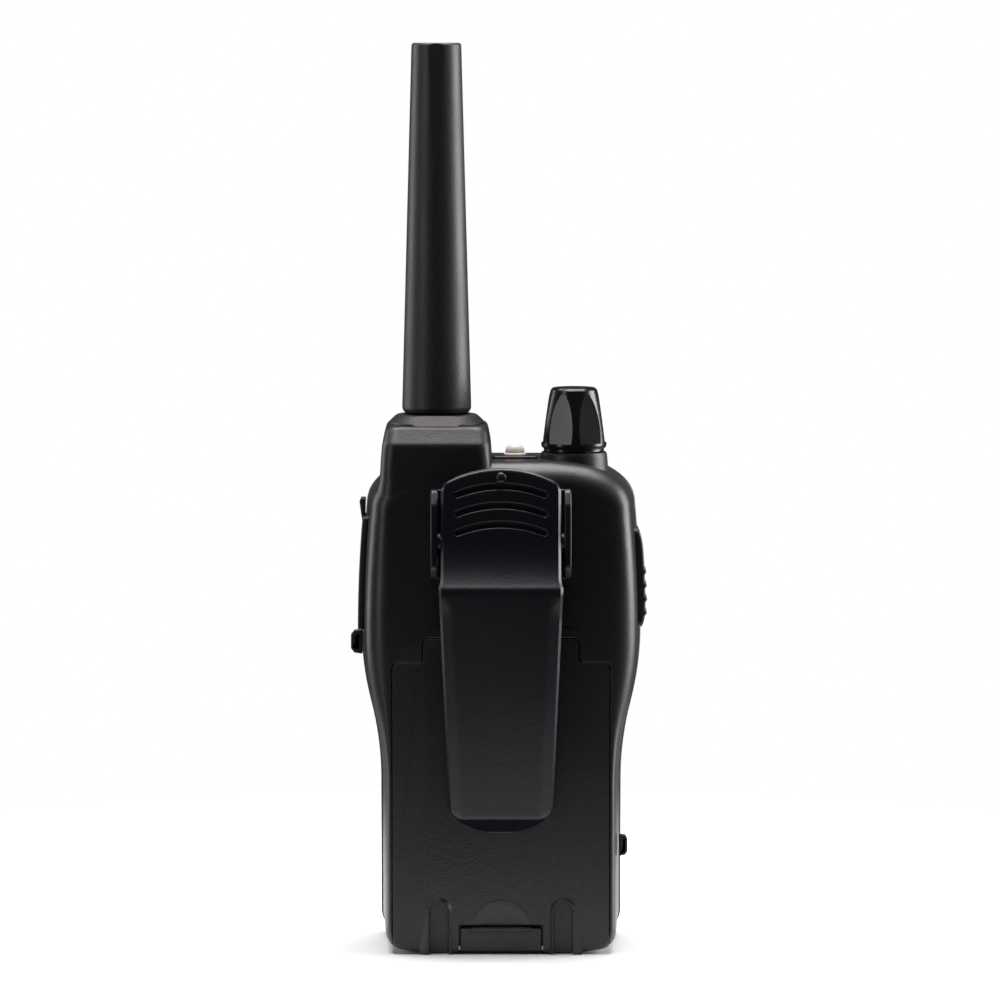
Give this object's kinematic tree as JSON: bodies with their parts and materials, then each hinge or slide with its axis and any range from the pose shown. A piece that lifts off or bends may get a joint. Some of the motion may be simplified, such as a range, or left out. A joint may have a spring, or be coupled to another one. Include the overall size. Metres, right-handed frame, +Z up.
{
  "type": "walkie talkie",
  "caption": "Handheld two-way radio with a fixed antenna, volume knob, push-to-talk button, belt clip and sliding battery door.",
  "frame": {"origin": "middle of the flat bottom of the case", "axes": "+Z up along the antenna, +Y out of the back with the belt clip, +X towards the side with the jacks"},
  "size_m": [0.0614, 0.043, 0.1875],
  "materials": {
    "case_plastic": "fine moulded texture",
    "clip_plastic": "fine moulded texture",
    "antenna_rubber": "matt",
    "knob_plastic": "satin",
    "soft_rubber": "soft matt",
    "keypad_rubber": "matt",
    "lens": "milky, translucent",
    "window": "clear acrylic",
    "display": "grey-green display",
    "steel": "plated",
    "brass": "plated",
    "core": "moulded",
    "jack_plastic": "moulded",
    "board": "solder mask",
    "cell_label": "plain printed sleeve",
    "foam": "closed-cell foam",
    "cloth": "woven",
    "cone": "pressed paper"
  },
  "bodies": {
    "case": {"front_case": "case_plastic", "rear_case": "case_plastic", "lanyard_loop": "case_plastic", "side_eyelet": "case_plastic", "antenna_sleeve": "antenna_rubber", "antenna_collar": "antenna_rubber", "keypad_sheet": "keypad_rubber", "indicator_lens": "lens", "indicator_led": "lens", "display_window": "window", "display_panel": "display", "case_screws": "steel", "potentiometer": "steel", "potentiometer_nut": "steel", "ptt_switch": "steel", "battery_springs": "steel", "battery_contacts": "steel", "shield_can": "steel", "speaker_frame": "steel", "speaker_magnet": "steel", "microphone": "steel", "antenna_stud": "brass", "antenna_nut": "brass", "antenna_coil": "brass", "antenna_core": "core", "speaker_jack": "jack_plastic", "microphone_jack": "jack_plastic", "charge_jack": "jack_plastic", "main_board": "board", "battery_cells": "cell_label", "speaker_screen": "cloth", "speaker_cone": "cone"},
    "knob": {"volume_knob": "knob_plastic", "potentiometer_shaft": "steel"},
    "talk_button": {"ptt_button": "soft_rubber"},
    "up_key": {"up_key": "soft_rubber"},
    "down_key": {"down_key": "soft_rubber"},
    "menu_key": {"menu_key": "soft_rubber"},
    "scan_key": {"scan_key": "soft_rubber"},
    "call_key": {"call_key": "soft_rubber"},
    "lock_key": {"lock_key": "soft_rubber"},
    "cover": {"jack_cover": "soft_rubber"},
    "bracket": {"clip_bracket": "clip_plastic", "clip_pin": "steel", "clip_spring": "steel"},
    "clip": {"clip_lever": "clip_plastic"},
    "door": {"battery_door": "case_plastic", "door_foam_strip": "foam", "latch_pin": "steel"},
    "latch": {"door_latch": "case_plastic"}
  },
  "joints": [
    {"name": "knob_turn", "type": "hinge", "parent": "case", "child": "knob", "pos_m": [-0.0151, 0.0025, 0.11], "axis": [0, 0, -1], "range_deg": [0, 270]},
    {"name": "talk_press", "type": "slide", "parent": "case", "child": "talk_button", "axis": [1, 0, 0], "range_m": [0, 0.0008], "stiffness_N_per_m": 2000, "springref_m": -0.0008},
    {"name": "cover_swing", "type": "hinge", "parent": "case", "child": "cover", "pos_m": [0.02892, 0.0025, 0.0666], "axis": [0, 1, 0], "range_deg": [0, 95]},
    {"name": "bracket_slide", "type": "slide", "parent": "case", "child": "bracket", "axis": [0, 0, -1], "range_m": [0, 0.0096]},
    {"name": "clip_rock", "type": "hinge", "parent": "bracket", "child": "clip", "pos_m": [0, 0.0195, 0.086], "axis": [1, 0, 0], "range_deg": [0, 12], "stiffness_Nm_per_rad": 0.1, "springref_deg": -22.92},
    {"name": "door_slide", "type": "slide", "parent": "case", "child": "door", "axis": [0, 0, -1], "range_m": [0, 0.068]},
    {"name": "latch_swing", "type": "hinge", "parent": "door", "child": "latch", "pos_m": [0, 0.01515, 0.0013], "axis": [-1, 0, 0], "range_deg": [0, 60]},
    {"name": "up_key_press", "type": "slide", "parent": "case", "child": "up_key", "axis": [0, 1, 0], "range_m": [0, 0.0006], "stiffness_N_per_m": 1500, "springref_m": -0.0006},
    {"name": "down_key_press", "type": "slide", "parent": "case", "child": "down_key", "axis": [0, 1, 0], "range_m": [0, 0.0006], "stiffness_N_per_m": 1500, "springref_m": -0.0006},
    {"name": "menu_key_press", "type": "slide", "parent": "case", "child": "menu_key", "axis": [0, 1, 0], "range_m": [0, 0.0006], "stiffness_N_per_m": 1500, "springref_m": -0.0006},
    {"name": "scan_key_press", "type": "slide", "parent": "case", "child": "scan_key", "axis": [0, 1, 0], "range_m": [0, 0.0006], "stiffness_N_per_m": 1500, "springref_m": -0.0006},
    {"name": "call_key_press", "type": "slide", "parent": "case", "child": "call_key", "axis": [0, 1, 0], "range_m": [0, 0.0006], "stiffness_N_per_m": 1500, "springref_m": -0.0006},
    {"name": "lock_key_press", "type": "slide", "parent": "case", "child": "lock_key", "axis": [0, 1, 0], "range_m": [0, 0.0006], "stiffness_N_per_m": 1500, "springref_m": -0.0006}
  ]
}
